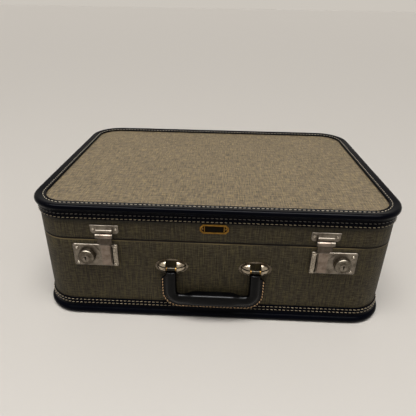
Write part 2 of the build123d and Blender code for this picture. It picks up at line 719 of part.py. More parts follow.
for side, word in sides:
    with BuildPart() as hasp_plate:
        with BuildSketch(front):
            with Locations((side * hasp_x, hasp_plate_z)):
                RectangleRounded(hasp_plate_width, hasp_plate_height, hasp_ear_radius)
            with Locations((side * hasp_x, plate_top - hasp_ear_radius / 2)):
                Rectangle(hasp_plate_width, hasp_ear_radius)
        extrude(amount=hasp_sheet)
        with BuildSketch(across(side * hasp_x)):
            with Locations((hasp_lip_radius, plate_top - hasp_lip_radius)):
                Circle(hasp_lip_radius)
        extrude(amount=hasp_plate_width / 2, both=True)
        with BuildSketch(across(side * hasp_x)):
            with BuildLine():
                Polyline((0, nose_low), (0, box_top), (hasp_box_top_out, box_top),
                         (nose_bend_out, nose_low + hasp_nose_height))
                ThreePointArc((nose_bend_out, nose_low + hasp_nose_height),
                              (hasp_nose_out, nose_low + hasp_nose_height / 2), (nose_bend_out, nose_low))
                Line((nose_bend_out, nose_low), (0, nose_low))
            make_face()
        extrude(amount=hasp_box_width / 2, both=True)
        for span in (hasp_spans[0], hasp_spans[2]):
            low, high = span_on(side, span)
            with BuildSketch(across(high)):
                with Locations((hasp_axis_out, hasp_axis_z)):
                    Circle(hasp_knuckle_radius)
                with Locations((hasp_axis_out / 2, (hasp_axis_z + nose_low) / 2)):
                    Rectangle(hasp_axis_out, nose_low - hasp_axis_z)
                with Locations((hasp_axis_out, hasp_axis_z)):
                    Circle(hasp_pin_radius, mode=Mode.SUBTRACT)
            extrude(amount=high - low)
        holes(front.offset(hasp_sheet), hasp_rivet_places(side), rivet_shank_radius, hasp_sheet)
    keep(hasp_plate, f"hasp_plate_{word}")

    with BuildPart() as hasp_pin:
        low, high = span_on(side, (hasp_spans[0][0], hasp_spans[2][1]))
        with BuildSketch(across(high)):
            with Locations((hasp_axis_out, hasp_axis_z)):
                Circle(hasp_pin_radius)
        extrude(amount=high - low)
    keep(hasp_pin, f"hasp_pin_{word}")

    with BuildPart() as hasp:
        low, high = span_on(side, hasp_spans[1])
        with BuildSketch(across(high)):
            with Locations((hasp_axis_out, hasp_axis_z)):
                Circle(hasp_knuckle_radius)
        extrude(amount=high - low)
        with BuildSketch(across(high)):
            with Locations((neck_out + hasp_thick / 2, (hasp_axis_z + hasp_neck_top) / 2)):
                Rectangle(hasp_thick, hasp_axis_z - hasp_neck_top + 2 * moving_clear)
        extrude(amount=high - low)
        with BuildSketch(across(side * hasp_x)):
            with BuildLine():
                Polyline((neck_out, hasp_neck_top), (neck_out, hasp_neck_end),
                         (hasp_back, joggle_low), (hasp_back, hasp_end_z),
                         (hasp_back + hasp_thick, hasp_end_z), (hasp_back + hasp_thick, joggle_low),
                         (neck_out + hasp_thick, hasp_neck_end), (neck_out + hasp_thick, hasp_neck_top),
                         close=True)
            make_face()
        extrude(amount=hasp_neck_width / 2, both=True)
        with BuildSketch(front):
            with Locations((side * hasp_x, hasp_end_z)):
                Rectangle(2 * hasp_neck_width, 2 * (hasp_neck_end - hasp_end_z))
            with Locations((side * hasp_x, hasp_end_z + lock_height)):
                RectangleRounded(hasp_tongue_width, 2 * lock_height, hasp_end_radius, mode=Mode.SUBTRACT)
        extrude(amount=2 * hasp_axis_out, mode=Mode.SUBTRACT)
        with BuildSketch(across(high)):
            with Locations((hasp_axis_out, hasp_axis_z)):
                Circle(hasp_pin_radius + running_clear)
        extrude(amount=high - low, mode=Mode.SUBTRACT)
    keep(hasp, f"hasp_{word}")

    with BuildPart() as hook:
        with BuildSketch(front.offset(bolt_off_wall)):
            with Locations((side * hasp_x, lock_z)):
                RectangleRounded(hook_width, hook_height, hook_corner)
        extrude(amount=hasp_back - bolt_off_wall)
        with BuildSketch(front.offset(bolt_off_wall)):
            with Locations((side * (hasp_x + hook_width / 2), lock_z)):
                Rectangle(2 * hook_notch, bolt_nose_width)
        extrude(amount=bolt_thick + moving_clear, mode=Mode.SUBTRACT)
    keep(hook, f"hasp_hook_{word}")

with BuildPart() as hasp_rivets:
    rivets(front, lid_front_points, hasp_sheet, hasp_rivet_radius, lock_rivet_rise,
           rivet_shank_radius, rivet_depth)
keep(hasp_rivets, "hasp_rivets")

# Handle loops: pressed domes with two flutes, open in the middle where the handle hangs


def dome(side, width, rise):
    """A blunt barrel that lies along X, with its axis on the front wall."""
    axis_plane = Plane((side * loop_x, -body_depth / 2, loop_z), x_dir=(1, 0, 0), z_dir=(0, 0, -1))
    with BuildSketch(axis_plane) as half_section:
        Ellipse(width / 2, rise)
        with Locations((0, -rise)):
            Rectangle(2 * width, 2 * rise, mode=Mode.SUBTRACT)
    revolve(half_section.sketch, axis=Axis((side * loop_x, -body_depth / 2, loop_z), (1, 0, 0)))


for side, word in sides:
    with BuildPart() as handle_loop:
        dome(side, loop_dome_width, loop_dome_rise)
        with BuildSketch(front):
            with Locations((side * loop_x, loop_z - loop_flute_up), (side * loop_x, loop_z + loop_flute_up)):
                Rectangle(loop_width, loop_flute_width)
        extrude(amount=2 * loop_dome_rise, mode=Mode.SUBTRACT)
        dome(side, loop_dome_width - 2 * loop_flute_depth, loop_dome_rise - loop_flute_depth)
        split(bisect_by=front, keep=Keep.TOP)
        with BuildSketch(front):
            with Locations((side * loop_x, loop_z)):
                Rectangle(2 * loop_width, 2 * loop_height)
                Ellipse(loop_dome_width / 2 - loop_tip_trim, loop_dome_height / 2, mode=Mode.SUBTRACT)
        extrude(amount=2 * loop_dome_rise, mode=Mode.SUBTRACT)
        with BuildSketch(front):
            with Locations((side * loop_x, loop_z)):
                Ellipse(loop_width / 2, loop_height / 2)
        extrude(amount=loop_rim_thick)
        with BuildSketch(front):
            with Locations((side * loop_x, loop_z)):
                Rectangle(loop_window_width, loop_window_height)
        extrude(amount=2 * loop_dome_rise, mode=Mode.SUBTRACT)
        with BuildSketch(front.offset(loop_rim_thick)):
            with Locations((side * loop_x, loop_z)):
                Rectangle(loop_window_width, 2 * loop_height)
        extrude(amount=2 * loop_dome_rise, mode=Mode.SUBTRACT)
        with BuildSketch(across(side * loop_x)):
            with Locations((pin_out, loop_z)):
                Circle(pin_radius)
        extrude(amount=loop_window_width / 2 + pin_grip, both=True, mode=Mode.SUBTRACT)
    keep(handle_loop, f"handle_loop_{word}")

    with BuildPart() as handle_pin:
        with BuildSketch(across(side * loop_x)):
            with Locations((pin_out, loop_z)):
                Circle(pin_radius)
        extrude(amount=loop_window_width / 2 + pin_grip, both=True)
    keep(handle_pin, f"handle_pin_{word}")

# Handle: a steel core with an eye round each pin, inside padded leather with a sewn edge

handle_y = -body_depth / 2 - pin_out
leather_top = loop_z - leather_below_pin


def handle_route(top):
    """The handle's middle line, from one end down, along the bar and up again."""
    FilletPolyline((-leg_x, handle_y, top), (-leg_x, handle_y, bar_z), (leg_x, handle_y, bar_z),
                   (leg_x, handle_y, top), radius=handle_corner)


def leg_plane(top):
    """A plane across the left leg, with x towards the grip."""
    return Plane((-leg_x, handle_y, top), x_dir=(1, 0, 0), z_dir=(0, 0, -1))


def roll_section(width, thick):
    """The padded roll and its flat sewn edge, which points away from the grip."""
    RectangleRounded(width, thick, thick / 2 - roll_flat)
    with Locations((-(width / 2 + flange_width) / 2, 0)):
        Rectangle(width / 2 + flange_width, flange_thick)
    fillet(vertices().sort_by(Axis.X)[:2], flange_fillet)


with BuildPart() as handle_core:
    core_top = loop_z - eye_radius / 2 - pin_radius / 2
    with BuildLine() as core_route:
        handle_route(core_top)
    with BuildSketch(leg_plane(core_top)):
        Circle(core_radius)
    sweep(path=core_route.wires()[0])
    for side, word in sides:
        with BuildSketch(across(side * loop_x)):
            with Locations((pin_out, loop_z)):
                Circle(eye_radius)
        extrude(amount=eye_width / 2, both=True)
        with BuildSketch(across(side * loop_x)):
            with Locations((pin_out, loop_z)):
                Circle(pin_radius + running_clear)
        extrude(amount=eye_width, both=True, mode=Mode.SUBTRACT)
keep(handle_core, "handle_core")

with BuildPart() as handle_leather:
    with BuildLine() as leather_route:
        handle_route(leather_top)
    with BuildSketch(leg_plane(leather_top)):
        roll_section(leg_roll_width, leg_roll_thick)
    sweep(path=leather_route.wires()[0])
    leg_corner = leg_roll_thick / 2 - roll_flat
    grip_sections = ((-grip_half, leg_roll_width, leg_roll_thick, leg_corner),
                     (-grip_half + grip_swell, bar_roll_width, bar_roll_thick, bar_corner),
                     (grip_half - grip_swell, bar_roll_width, bar_roll_thick, bar_corner),
                     (grip_half, leg_roll_width, leg_roll_thick, leg_corner))
    for x, width, thick, corner in grip_sections:
        grip_y = handle_y - (thick - leg_roll_thick) / 2 + grip_sink
        grip_z = bar_z + (width - leg_roll_width) / 2
        with BuildSketch(Plane((x, grip_y, grip_z), x_dir=(0, 0, 1), z_dir=(1, 0, 0))):
            RectangleRounded(width, thick, corner)
    loft(ruled=True)
    window_edge = loop_x + loop_window_width / 2 - moving_clear
    for side, word in sides:
        with BuildSketch(front):
            with BuildLine():
                Polyline((side * window_edge, loop_z), (side * window_edge, loop_z - flange_below_pin),
                         (side * 2 * loop_x, loop_z - flange_below_pin - flange_slope),
                         (side * 2 * loop_x, loop_z), close=True)
            make_face()
        extrude(amount=4 * pin_out, mode=Mode.SUBTRACT)
    add(handle_core.part, mode=Mode.SUBTRACT)
keep(handle_leather, "handle_leather")

# Plate on the lid

with BuildPart() as nameplate:
    with BuildSketch(front):
        with Locations((0, plate_z)):
            Rectangle(plate_width, plate_height)
        chamfer(vertices(), plate_clip)
    extrude(amount=plate_thick)
    with BuildSketch(front.offset(plate_thick)):
        with Locations((0, plate_z)):
            Rectangle(plate_field_width, plate_field_height)
        chamfer(vertices(), plate_field_clip)
        with Locations((-plate_rib_spacing / 2, plate_z), (plate_rib_spacing / 2, plate_z)):
            Rectangle(plate_rib_width, plate_height, mode=Mode.SUBTRACT)
    extrude(amount=-plate_field_depth, mode=Mode.SUBTRACT)
    holes(front.offset(plate_thick), nail_points, nail_shank_radius, plate_thick)
keep(nameplate, "nameplate")

with BuildPart() as nameplate_nails:
    rivets(front, nail_points, plate_thick - plate_field_depth, nail_radius, nail_rise + plate_field_depth,
           nail_shank_radius, rivet_depth)
keep(nameplate_nails, "nameplate_nails")
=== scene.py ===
"""Finishes, stitching and soft parts of the overnight suitcase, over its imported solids.

Shapes are drawn in millimetres, in the part's own frame, and scaled to metres when a piece
is finished. "Out" is the distance that something stands off the canvas of the wall.
"""

from math import atan2, copysign, cos, pi, radians, sin

import bmesh
import bpy
from mathutils import Matrix, Vector, noise


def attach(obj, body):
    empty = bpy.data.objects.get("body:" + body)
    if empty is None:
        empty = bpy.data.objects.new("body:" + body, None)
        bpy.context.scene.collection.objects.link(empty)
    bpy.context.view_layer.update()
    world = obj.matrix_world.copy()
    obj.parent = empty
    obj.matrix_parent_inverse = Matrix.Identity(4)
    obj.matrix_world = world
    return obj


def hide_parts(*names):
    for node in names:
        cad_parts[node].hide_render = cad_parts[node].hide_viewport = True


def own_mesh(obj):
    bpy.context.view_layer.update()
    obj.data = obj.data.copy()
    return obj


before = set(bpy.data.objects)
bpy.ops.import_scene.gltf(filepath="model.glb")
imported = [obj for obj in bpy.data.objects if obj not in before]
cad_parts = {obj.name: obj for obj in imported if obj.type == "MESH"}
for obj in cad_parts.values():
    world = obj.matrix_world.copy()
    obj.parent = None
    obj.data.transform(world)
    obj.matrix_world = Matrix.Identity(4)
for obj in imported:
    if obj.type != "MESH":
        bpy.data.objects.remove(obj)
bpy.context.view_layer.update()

mm = 0.001
half_width = 226.5
half_depth = 160.0
corner = 42.0
straight_x = half_width - corner
straight_y = half_depth - corner
seam = 117.5
seam_gap = 0.7
canvas_low = 3.4
canvas_top = 161.5
sides = ((-1, "left"), (1, "right"))

# Where the fittings sit: distances from the middle of the case, and heights
lock_z = 94.5
lock_rivets_x = (171.1, 122.95)
lock_rivet_reach = 10.9
lock_strip = (119.5, 126.4)
hasp_x = 134.7
hasp_rivet_z = 131.8
hasp_rivet_reach = 13.8
hasp_neck = (110.3, 122.5)
hinge_x = 135.0
hinge_rivet_reach = 11.0
nail_x = 14.3
nail_z = 137.0
loop_x = 53.0
handle_pin_z = 80.8
loop_flutes = ((82.4, 84.6), (77.0, 79.2))
loop_rim = half_depth + 1.5

# Camera, where the photograph was taken from

camera_data = bpy.data.cameras.new("camera")
camera_data.sensor_width = 36.0
camera_data.lens = 33.53
camera_data.shift_x = 0.0014
camera_data.shift_y = -0.0242
camera = bpy.data.objects.new("camera", camera_data)
bpy.context.scene.collection.objects.link(camera)
yaw, pitch, roll = -0.034, 0.461, 0.017
ahead = Vector((sin(yaw) * cos(pitch), cos(yaw) * cos(pitch), -sin(pitch)))
level = Vector((cos(yaw), -sin(yaw), 0))
upward = level.cross(ahead)
across = cos(roll) * level + sin(roll) * upward
above = cos(roll) * upward - sin(roll) * level
camera.matrix_world = Matrix.Translation((0.0047, -0.56271, 0.37894)) @ Matrix(
    (across, above, -ahead)).transposed().to_4x4()
bpy.context.scene.camera = camera
bpy.context.scene.view_settings.view_transform = "Standard"


# Materials


def tint(code):
    """A colour written as sRGB hex, turned to linear."""
    channels = [int(code[i:i + 2], 16) / 255 for i in (1, 3, 5)]
    return [c / 12.92 if c < 0.04045 else ((c + 0.055) / 1.055) ** 2.4 for c in channels] + [1.0]


def node(tree, kind, inputs=(), **settings):
    """Add a node, set its properties, and set or link its sockets."""
    made = tree.nodes.new(kind)
    for name, value in settings.items():
        setattr(made, name, value)
    for socket, value in dict(inputs).items():
        if isinstance(value, bpy.types.NodeSocket):
            tree.links.new(value, made.inputs[socket])
        else:
            made.inputs[socket].default_value = value
    return made


def start(name, **values):
    """A new material with its shader's constants set, and the tree and shader to work on."""
    material = bpy.data.materials.new(name)
    material.use_nodes = True
    shader = material.node_tree.nodes["Principled BSDF"]
    for socket, value in values.items():
        shader.inputs[socket.replace("_", " ")].default_value = value
    return material, material.node_tree, shader


def patched(tree, painted, clouds, patches):
    """Lay patches of real wear and of painted shade over a colour. Each has a colour, the least share that
    the clouds leave of it, and ramps: an axis, where it starts and where it reaches its full share."""
    place = node(tree, "ShaderNodeSeparateXYZ", {0: node(tree, "ShaderNodeTexCoord").outputs["Object"]})
    for colour, least, ramps in patches:
        share = node(tree, "ShaderNodeMapRange", {"Value": clouds, "From Min": 0.35, "From Max": 0.6,
                                                  "To Min": least}).outputs[0]
        for axis, out_at, in_at in ramps:
            ramp = node(tree, "ShaderNodeMapRange", {"Value": place.outputs[axis], "From Min": out_at * mm,
                                                     "From Max": in_at * mm})
            share = node(tree, "ShaderNodeMath", {0: ramp.outputs[0], 1: share},
                         operation="MULTIPLY").outputs[0]
        painted = node(tree, "ShaderNodeMix", {"Factor": share, "A": painted, "B": tint(colour)},
                       data_type="RGBA").outputs["Result"]
    return painted


def woven(name, light, cool, dark, threads, slubs, rough, gloss, patches=()):
    """A plain weave of uneven yarns. Threads are their spacing and slubs the length of their thick
    places, across the cloth and along it. Light yarns lean to one tone or the other."""
    material, tree, shader = start(name, Roughness=rough, IOR=1.5, Specular_IOR_Level=gloss)
    place = node(tree, "ShaderNodeTexCoord").outputs["UV"]
    grid = node(tree, "ShaderNodeMapping", {"Vector": place, "Scale": (
        1 / threads[0] / mm, 1 / threads[1] / mm, 1)}).outputs["Vector"]
    # A wave repeats every pi / 10 at a scale of 1, so here it has one crest to a thread
    warp, weft = (node(tree, "ShaderNodeTexWave", {"Vector": grid, "Scale": pi / 10, "Distortion": 1.2,
                                                   "Detail": 1.0, "Detail Scale": 1.5},
                       bands_direction=direction) for direction in "XY")
    over = node(tree, "ShaderNodeTexChecker", {"Vector": grid, "Scale": 1.0})
    yarn = node(tree, "ShaderNodeMix", {0: over.outputs["Fac"], 2: warp.outputs["Fac"],
                                        3: weft.outputs["Fac"]})
    streaks = []
    for wide, long in ((threads[0], slubs[1]), (slubs[0], threads[1])):
        stretched = node(tree, "ShaderNodeMapping", {"Vector": place, "Scale": (
            1 / wide / mm, 1 / long / mm, 1)})
        streak = node(tree, "ShaderNodeTexNoise", {"Vector": stretched.outputs["Vector"], "Scale": 1.0,
                                                   "Detail": 1.5, "Roughness": 0.6})
        streaks.append(streak.outputs["Fac"])
    crossed = node(tree, "ShaderNodeMix", {0: 0.5, 2: streaks[0], 3: streaks[1]})
    tone = node(tree, "ShaderNodeMapRange", {"Value": crossed.outputs[0], "From Min": 0.36, "From Max": 0.65})
    blend = node(tree, "ShaderNodeMath", {0: tone.outputs[0], 1: yarn.outputs[0], 2: -0.05},
                 operation="MULTIPLY_ADD")
    cloud = node(tree, "ShaderNodeTexNoise", {"Vector": place, "Scale": 1 / (70 * mm), "Detail": 4.0})
    faded = node(tree, "ShaderNodeMapRange", {"Value": cloud.outputs["Fac"], "From Min": 0.3, "From Max": 0.7,
                                              "To Min": -0.04, "To Max": 0.04})
    amount = node(tree, "ShaderNodeMath", {0: blend.outputs[0], 1: faded.outputs[0]}, operation="ADD")
    lean = node(tree, "ShaderNodeMapRange", {"Value": streaks[0], "From Min": 0.4, "From Max": 0.6})
    bright = node(tree, "ShaderNodeMix", {"Factor": lean.outputs[0], "A": tint(cool), "B": tint(light)},
                  data_type="RGBA")
    colour = node(tree, "ShaderNodeMix", {"Factor": amount.outputs[0], "A": tint(dark),
                                          "B": bright.outputs["Result"]}, data_type="RGBA")
    painted = patched(tree, colour.outputs["Result"], cloud.outputs["Fac"], patches)
    tree.links.new(painted, shader.inputs["Base Color"])
    relief = node(tree, "ShaderNodeBump", {"Height": blend.outputs[0], "Strength": 0.5, "Distance": 0.4 * mm})
    tree.links.new(relief.outputs[0], shader.inputs["Normal"])
    return material


# Coated tweed canvas: a hard varnished cloth, so the yarns show as tone more than as relief.
# Its real threads are 0.7 mm apart; they are drawn at 1.5 mm, which is as fine as shows, and those
# that lie along the top from end to end, foreshortened from the front, at 2.3 mm.
top_canvas = woven("coated tweed canvas", "#B79E6D", "#AF9B80", "#4B3F29", (1.5, 2.3), (12, 14), 0.62, 0.4)
# The walls are the same canvas as the top, painted darker as shade because they face away from the overhead
# light. Painted shade: the folds at the seam are black as the shadow in the groove between lid and base. The
# base's wall is rubbed to bare thread just below its fold, and a band of painted shade lies under the lid's
# binding.
shaded_wall_weave = woven("tweed canvas darkened for painted shade", "#665B3A", "#645A46", "#231E13", (1.5, 1.5), (9, 24), 0.62, 0.2, (
    ("#6F6040", 0.05, (("Z", seam - 2.9, seam - 2.2), ("Z", seam - 1.1, seam - 1.3))),
    ("#020201", 1.0, (("Z", seam - 1.4, seam - 1.1), ("Z", seam + 1.7, seam + 1.2))),
    ("#14120A", 0.45, (("Z", canvas_top - 25.0, canvas_top - 17.5), ("Z", canvas_top, canvas_top - 8.0)))))
# Unglazed cotton lining: pale, matt and soft-looking beside the canvas
lining = woven("cotton lining", "#B9AD92", "#B3AA96", "#8E8164", (1.6, 1.6), (30, 30), 0.85, 0.3)


def hide(name, base, scuffed, grain, rough, gloss):
    """Dyed hide or leather cloth: pebbled grain, a dressed gloss, and dull greyer rubbed areas."""
    material, tree, shader = start(name, IOR=1.5, Specular_IOR_Level=gloss)
    place = node(tree, "ShaderNodeTexCoord").outputs["Object"]
    pebbles = node(tree, "ShaderNodeTexVoronoi", {"Vector": place, "Scale": 1 / grain, "Randomness": 1.0},
                   feature="SMOOTH_F1")
    rub = node(tree, "ShaderNodeTexNoise", {"Vector": place, "Scale": 1 / (22 * mm), "Detail": 6.0,
                                            "Roughness": 0.65})
    worn = node(tree, "ShaderNodeMapRange", {"Value": rub.outputs["Fac"], "From Min": 0.48, "From Max": 0.78})
    colour = node(tree, "ShaderNodeMix", {"Factor": worn.outputs[0], "A": tint(base), "B": tint(scuffed)},
                  data_type="RGBA")
    dull = node(tree, "ShaderNodeMapRange", {"Value": rub.outputs["Fac"], "From Min": 0.3, "From Max": 0.7,
                                             "To Min": rough - 0.07, "To Max": rough + 0.1})
    relief = node(tree, "ShaderNodeBump", {"Height": pebbles.outputs["Distance"], "Strength": 0.2,
                                           "Distance": 0.3 * mm})
    tree.links.new(colour.outputs["Result"], shader.inputs["Base Color"])
    tree.links.new(dull.outputs[0], shader.inputs["Roughness"])
    tree.links.new(relief.outputs[0], shader.inputs["Normal"])
    return material


# Black binding: leather cloth, bookbinder's style, slightly navy where it catches the light
binding_cloth = hide("black leather cloth", "#010208", "#040509", 0.9 * mm, 0.17, 0.035)
# Handle: soft black cowhide with a finer grain, polished by the hand along the grip
handle_hide = hide("black cowhide", "#020203", "#0A0A0A", 0.7 * mm, 0.18, 0.12)


def plated(name, colour, tarnish, rough, brushed, hammered=None, patches=()):
    """Plate or metal that was brushed along one axis, with cloudy tarnish. Where it is hammered,
    between two distances from the middle of the case, it is beaten to small facets, with highlights and shade
    painted across them."""
    material, tree, shader = start(name, Metallic=1.0)
    place = node(tree, "ShaderNodeTexCoord").outputs["Object"]
    grain = 0.35 * mm
    spread = [1 / grain if axis != brushed else 1 / (30 * grain) for axis in "XYZ"]
    lines = node(tree, "ShaderNodeMapping", {"Vector": place, "Scale": spread})
    brush = node(tree, "ShaderNodeTexNoise", {"Vector": lines.outputs["Vector"], "Scale": 1.0, "Detail": 2.0})
    stain = node(tree, "ShaderNodeTexNoise", {"Vector": place, "Scale": 1 / (7.5 * mm), "Detail": 5.0,
                                              "Roughness": 0.6})
    clouded = node(tree, "ShaderNodeMapRange", {"Value": stain.outputs["Fac"], "From Min": 0.42,
                                                "From Max": 0.68})
    mixed = node(tree, "ShaderNodeMix", {"Factor": clouded.outputs[0], "A": tint(colour), "B": tint(tarnish)},
                 data_type="RGBA")
    gloss = node(tree, "ShaderNodeMapRange", {"Value": brush.outputs["Fac"], "From Min": 0.3, "From Max": 0.7,
                                              "To Min": rough - 0.06, "To Max": rough + 0.12})
    relief = node(tree, "ShaderNodeBump", {"Height": brush.outputs["Fac"], "Strength": 0.25,
                                           "Distance": 0.1 * mm})
    if hammered:
        sideways = node(tree, "ShaderNodeSeparateXYZ", {0: place})
        aside = node(tree, "ShaderNodeMath", {0: sideways.outputs["X"]}, operation="ABSOLUTE").outputs[0]
        past = node(tree, "ShaderNodeMath", {0: aside, 1: hammered[0] * mm}, operation="GREATER_THAN")
        short = node(tree, "ShaderNodeMath", {0: aside, 1: hammered[1] * mm}, operation="LESS_THAN")
        strip = node(tree, "ShaderNodeMath", {0: past.outputs[0], 1: short.outputs[0]},
                     operation="MULTIPLY")
        dents = node(tree, "ShaderNodeTexVoronoi", {"Vector": place, "Scale": 1 / (1.9 * mm)},
                     feature="SMOOTH_F1")
        beaten = node(tree, "ShaderNodeMath", {0: strip.outputs[0], 1: dents.outputs["Distance"]},
                      operation="MULTIPLY")
        relief = node(tree, "ShaderNodeBump", {"Height": beaten.outputs[0], "Strength": 0.7,
                                               "Distance": 0.6 * mm, "Normal": relief.outputs[0]})
        # Painted highlights and shade: each facet is pale in its middle and dark towards its edges
        facets = node(tree, "ShaderNodeMix", {"Factor": dents.outputs["Distance"], "A": tint("#B5AA9A"),
                                              "B": tint("#3E3A34")}, data_type="RGBA")
        mixed = node(tree, "ShaderNodeMix", {"Factor": strip.outputs[0], "A": mixed.outputs["Result"],
                                             "B": facets.outputs["Result"]}, data_type="RGBA")
    painted = patched(tree, mixed.outputs["Result"], stain.outputs["Fac"], patches)
    tree.links.new(painted, shader.inputs["Base Color"])
    tree.links.new(gloss.outputs[0], shader.inputs["Roughness"])
    tree.links.new(relief.outputs[0], shader.inputs["Normal"])
    return material


# Nickel: warm grey where it is handled, paler where it is domed, and yellow-brown with tarnish
lock_nickel = plated("brushed nickel plate", "#80786D", "#5A534A", 0.30, "X", hammered=lock_strip)
leaf_nickel = plated("dulled nickel plate", "#80786D", "#5A534A", 0.32, "X")
knob_nickel = plated("worn dark nickel", "#726B60", "#4E473D", 0.25, "X")
# Each hasp is painted darker, as shade, where it bends in under its knuckle, above the edge of the lock
hasp_nickel = plated("satin nickel plate", "#897C71", "#6A5D52", 0.32, "Z", patches=(
    ("#4A433B", 0.8, (("Z", hasp_neck[0], hasp_neck[0] + 0.9), ("Z", hasp_neck[1], hasp_neck[1] - 1.5))),))
rivet_nickel = plated("polished nickel plate", "#B8B0A2", "#7E7466", 0.17, "X")
# Handle loops: polished on the dome, with painted shade nearly black in its two flutes, and darker on the
# flat rim
loop_nickel = plated("domed nickel plate", "#B8AC97", "#84786A", 0.22, "X", patches=[
    ("#15120E", 0.85, (("Z", low, low + 0.6), ("Z", high, high - 0.6))) for low, high in loop_flutes] + [
    ("#5E564A", 0.75, (("Y", -loop_rim - 0.7, -loop_rim),))])
# Painted shade: the handle's pins and cores are polished steel painted nearly black, for the shade inside the
# loops' windows
window_shaded_steel = plated("steel darkened for painted shade", "#38352F", "#1F1D1A", 0.26, "X")
plain_steel = plated("zinc-plated steel", "#7E7D7A", "#62605C", 0.42, "X")
aged_brass = plated("aged brass", "#8C6C3A", "#4E371D", 0.35, "X")

# Fibreboard: brown vulcanised card, seen only as the bare edge in the seam
board, tree, shader = start("vulcanised fibreboard", Roughness=0.8)
place = node(tree, "ShaderNodeTexCoord").outputs["Object"]
plies = node(tree, "ShaderNodeTexNoise", {"Vector": place, "Scale": 1 / (1.4 * mm), "Detail": 2.0})
ply_tone = node(tree, "ShaderNodeMix", {"Factor": plies.outputs["Fac"], "A": tint("#4A3522"),
                                        "B": tint("#6E5236")}, data_type="RGBA")
tree.links.new(ply_tone.outputs["Result"], shader.inputs["Base Color"])


def waxed(name, dark, light):
    """Waxed linen thread, with the darker twist of its plies."""
    material, tree, shader = start(name, Roughness=0.6)
    place = node(tree, "ShaderNodeTexCoord").outputs["Object"]
    twist = node(tree, "ShaderNodeTexNoise", {"Vector": place, "Scale": 1 / (4 * mm), "Detail": 2.0})
    tone = node(tree, "ShaderNodeMix", {"Factor": twist.outputs["Fac"], "A": tint(dark), "B": tint(light)},
                data_type="RGBA")
    tree.links.new(tone.outputs["Result"], shader.inputs["Base Color"])
    return material


# Thread: cream on the top; the same thread is painted duller down the walls as shade, and darker still in the
# lid's upper seam as the shadow under the roll; tan on the handle
cream_thread = waxed("waxed linen thread", "#716553", "#CFC2A8")
wall_shade_thread = waxed("linen thread darkened for painted wall shade", "#594D3B", "#AB9A7A")
roll_shadow_thread = waxed("linen thread darkened for painted shadow under the roll", "#2F2B26", "#6B6257")
tan_thread = waxed("tan linen thread", "#8A6840", "#DDB280")

# Small plate: brass with a blackened sunk field, its rims gone from gold to red-brown
plate_brass, tree, shader = start("brass with blackened field", Metallic=1.0)
place = node(tree, "ShaderNodeTexCoord").outputs["Object"]
depth = node(tree, "ShaderNodeSeparateXYZ", {0: place})
sunk = node(tree, "ShaderNodeMath", {0: depth.outputs["Y"], 1: -(half_depth + 0.7) * mm},
            operation="GREATER_THAN")
patina = node(tree, "ShaderNodeTexNoise", {"Vector": place, "Scale": 1 / (4.5 * mm), "Detail": 4.0})
gilt = node(tree, "ShaderNodeMix", {"Factor": patina.outputs["Fac"], "A": tint("#4C3412"),
                                    "B": tint("#A37B38")}, data_type="RGBA")
faced = node(tree, "ShaderNodeMix", {"Factor": sunk.outputs[0], "A": gilt.outputs["Result"],
                                     "B": tint("#17130D")}, data_type="RGBA")
sheen = node(tree, "ShaderNodeMapRange", {"Value": sunk.outputs[0], "To Min": 0.3, "To Max": 0.55})
tree.links.new(faced.outputs["Result"], shader.inputs["Base Color"])
tree.links.new(sheen.outputs[0], shader.inputs["Roughness"])

finish_of = {
    "base_shell": board, "lid_shell": board, "base_lining": lining, "lid_lining": lining, "valance": lining,
    "hinge_base_leaf": leaf_nickel, "hinge_lid_leaf": leaf_nickel, "hinge_pin": plain_steel,
    "stay_arm": plain_steel, "stay_pivot": plain_steel, "stay_stud": plain_steel,
    "lock_plate": lock_nickel, "knob": knob_nickel, "key_plug": lock_nickel, "bolt": plain_steel,
    "hasp_plate": leaf_nickel, "hasp_pin": plain_steel, "hasp": hasp_nickel, "hasp_hook": plain_steel,
    "handle_loop": loop_nickel, "handle_pin": window_shaded_steel, "handle_core": window_shaded_steel, "nameplate": plate_brass,
}
for name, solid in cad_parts.items():
    kind = name.removesuffix("_left").removesuffix("_right")
    if kind in finish_of:
        solid.data.materials.clear()
        solid.data.materials.append(finish_of[kind])


# Shaping helpers


def outline(bm, points):
    """A closed loop of edges through some points."""
    corners = [bm.verts.new(point) for point in points]
    return [bm.edges.new(pair) for pair in zip(corners, corners[1:] + corners[:1])]


def run(bm, edges, travel, steps):
    """Extrude a loop of edges along a straight line and give back its far end."""
    for step in range(steps):
        made = bmesh.ops.extrude_edge_only(bm, edges=edges)["geom"]
        moved = [part for part in made if isinstance(part, bmesh.types.BMVert)]
        edges = [part for part in made if isinstance(part, bmesh.types.BMEdge) and part.is_boundary]
        bmesh.ops.translate(bm, vec=Vector(travel) / steps, verts=moved)
    return edges


def turn(bm, edges, centre, axis, steps):
    """Carry a loop of edges round a quarter turn and give back its far end."""
    spun = bmesh.ops.spin(bm, geom=edges, cent=centre, axis=axis, angle=pi / 2, steps=steps)
    return [part for part in spun["geom_last"] if isinstance(part, bmesh.types.BMEdge)]


def mirror_over(bm, axes):
    """Complete a part of a shape by mirroring it, with the halves joined."""
    for axis in axes:
        bmesh.ops.mirror(bm, geom=bm.verts[:] + bm.edges[:] + bm.faces[:], axis=axis, merge_dist=0.01)
    bmesh.ops.remove_doubles(bm, verts=bm.verts[:], dist=0.01)
    bmesh.ops.recalc_face_normals(bm, faces=bm.faces[:])


